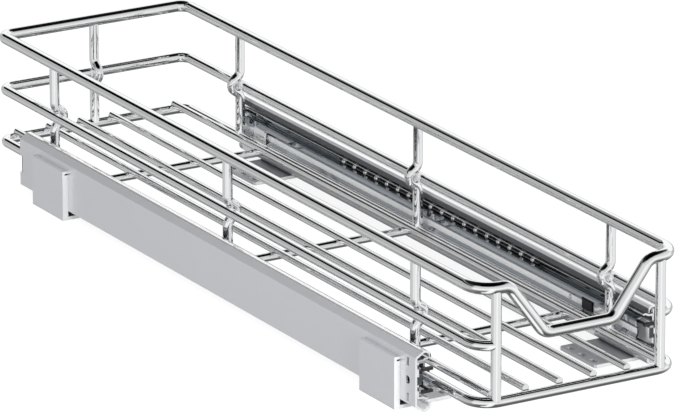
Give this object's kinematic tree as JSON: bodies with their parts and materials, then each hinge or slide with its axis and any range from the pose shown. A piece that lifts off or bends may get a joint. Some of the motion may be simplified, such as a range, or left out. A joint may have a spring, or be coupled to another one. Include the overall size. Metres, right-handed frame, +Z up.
{
  "type": "pull out cabinet basket",
  "caption": "Narrow chromed wire basket with a dipped wire handle that rolls out of a cabinet on a pair of full extension ball slides standing on floor feet.",
  "frame": {"origin": "on the cabinet floor, under the middle of the basket as it stands pushed in", "axes": "+X to the right seen from the front, +Y to the rear along the slides, +Z up"},
  "size_m": [0.1664, 0.549, 0.0841],
  "materials": {
    "chrome_rod": "bright chrome plated steel rod",
    "zinc_steel": "zinc plated sheet steel with a satin surface",
    "bright_steel": "bright zinc plated sheet steel",
    "polished_steel": "polished bearing and rivet steel",
    "black_plastic": "black moulded plastic",
    "black_rubber": "black rubber stop"
  },
  "bodies": {
    "rails": {"rail_left": "zinc_steel", "rail_right": "zinc_steel", "foot_front_left": "zinc_steel", "foot_rear_left": "zinc_steel", "foot_front_right": "zinc_steel", "foot_rear_right": "zinc_steel", "foot_pads": "zinc_steel", "foot_rivets": "polished_steel", "rear_stops": "black_rubber"},
    "basket": {"top_ring": "chrome_rod", "middle_ring": "chrome_rod", "bottom_ring": "chrome_rod", "side_posts_left": "chrome_rod", "side_posts_right": "chrome_rod", "front_posts": "chrome_rod", "rear_post": "chrome_rod", "cross_wires": "chrome_rod", "base_wires": "chrome_rod", "inner_rail_left": "bright_steel", "inner_rail_right": "bright_steel", "end_plugs": "black_plastic", "clip_front_left": "bright_steel", "clip_rear_left": "bright_steel", "clip_front_right": "bright_steel", "clip_rear_right": "bright_steel", "clip_rivets": "polished_steel", "lever_pins": "polished_steel"},
    "middle_left": {"middle_rail_left": "zinc_steel"},
    "outer_cage_left": {"outer_cage_left": "zinc_steel", "outer_balls_left": "polished_steel"},
    "inner_cage_left": {"inner_cage_left": "zinc_steel", "inner_balls_left": "polished_steel"},
    "lever_left": {"lever_left": "black_plastic"},
    "middle_right": {"middle_rail_right": "zinc_steel"},
    "outer_cage_right": {"outer_cage_right": "zinc_steel", "outer_balls_right": "polished_steel"},
    "inner_cage_right": {"inner_cage_right": "zinc_steel", "inner_balls_right": "polished_steel"},
    "lever_right": {"lever_right": "black_plastic"}
  },
  "joints": [
    {"name": "basket_slide", "type": "slide", "parent": "rails", "child": "basket", "axis": [0, -1, 0], "range_m": [0, 0.43]},
    {"name": "middle_slide_left", "type": "slide", "parent": "rails", "child": "middle_left", "axis": [0, -1, 0], "range_m": [0, 0.215]},
    {"name": "outer_cage_slide_left", "type": "slide", "parent": "rails", "child": "outer_cage_left", "axis": [0, -1, 0], "range_m": [0, 0.1075]},
    {"name": "inner_cage_slide_left", "type": "slide", "parent": "rails", "child": "inner_cage_left", "axis": [0, -1, 0], "range_m": [0, 0.3225]},
    {"name": "lever_turn_left", "type": "hinge", "parent": "basket", "child": "lever_left", "pos_m": [-0.07125, -0.1543, 0.0196], "axis": [1, 0, 0], "range_deg": [0, 8], "stiffness_Nm_per_rad": 0.02},
    {"name": "middle_slide_right", "type": "slide", "parent": "rails", "child": "middle_right", "axis": [0, -1, 0], "range_m": [0, 0.215]},
    {"name": "outer_cage_slide_right", "type": "slide", "parent": "rails", "child": "outer_cage_right", "axis": [0, -1, 0], "range_m": [0, 0.1075]},
    {"name": "inner_cage_slide_right", "type": "slide", "parent": "rails", "child": "inner_cage_right", "axis": [0, -1, 0], "range_m": [0, 0.3225]},
    {"name": "lever_turn_right", "type": "hinge", "parent": "basket", "child": "lever_right", "pos_m": [0.07125, -0.1543, 0.0196], "axis": [1, 0, 0], "range_deg": [0, 8], "stiffness_Nm_per_rad": 0.02}
  ],
  "couplings": [
    {"joint": "middle_slide_left", "follows": "basket_slide", "ratio": 0.5},
    {"joint": "outer_cage_slide_left", "follows": "basket_slide", "ratio": 0.25},
    {"joint": "inner_cage_slide_left", "follows": "basket_slide", "ratio": 0.75},
    {"joint": "middle_slide_right", "follows": "basket_slide", "ratio": 0.5},
    {"joint": "outer_cage_slide_right", "follows": "basket_slide", "ratio": 0.25},
    {"joint": "inner_cage_slide_right", "follows": "basket_slide", "ratio": 0.75}
  ]
}
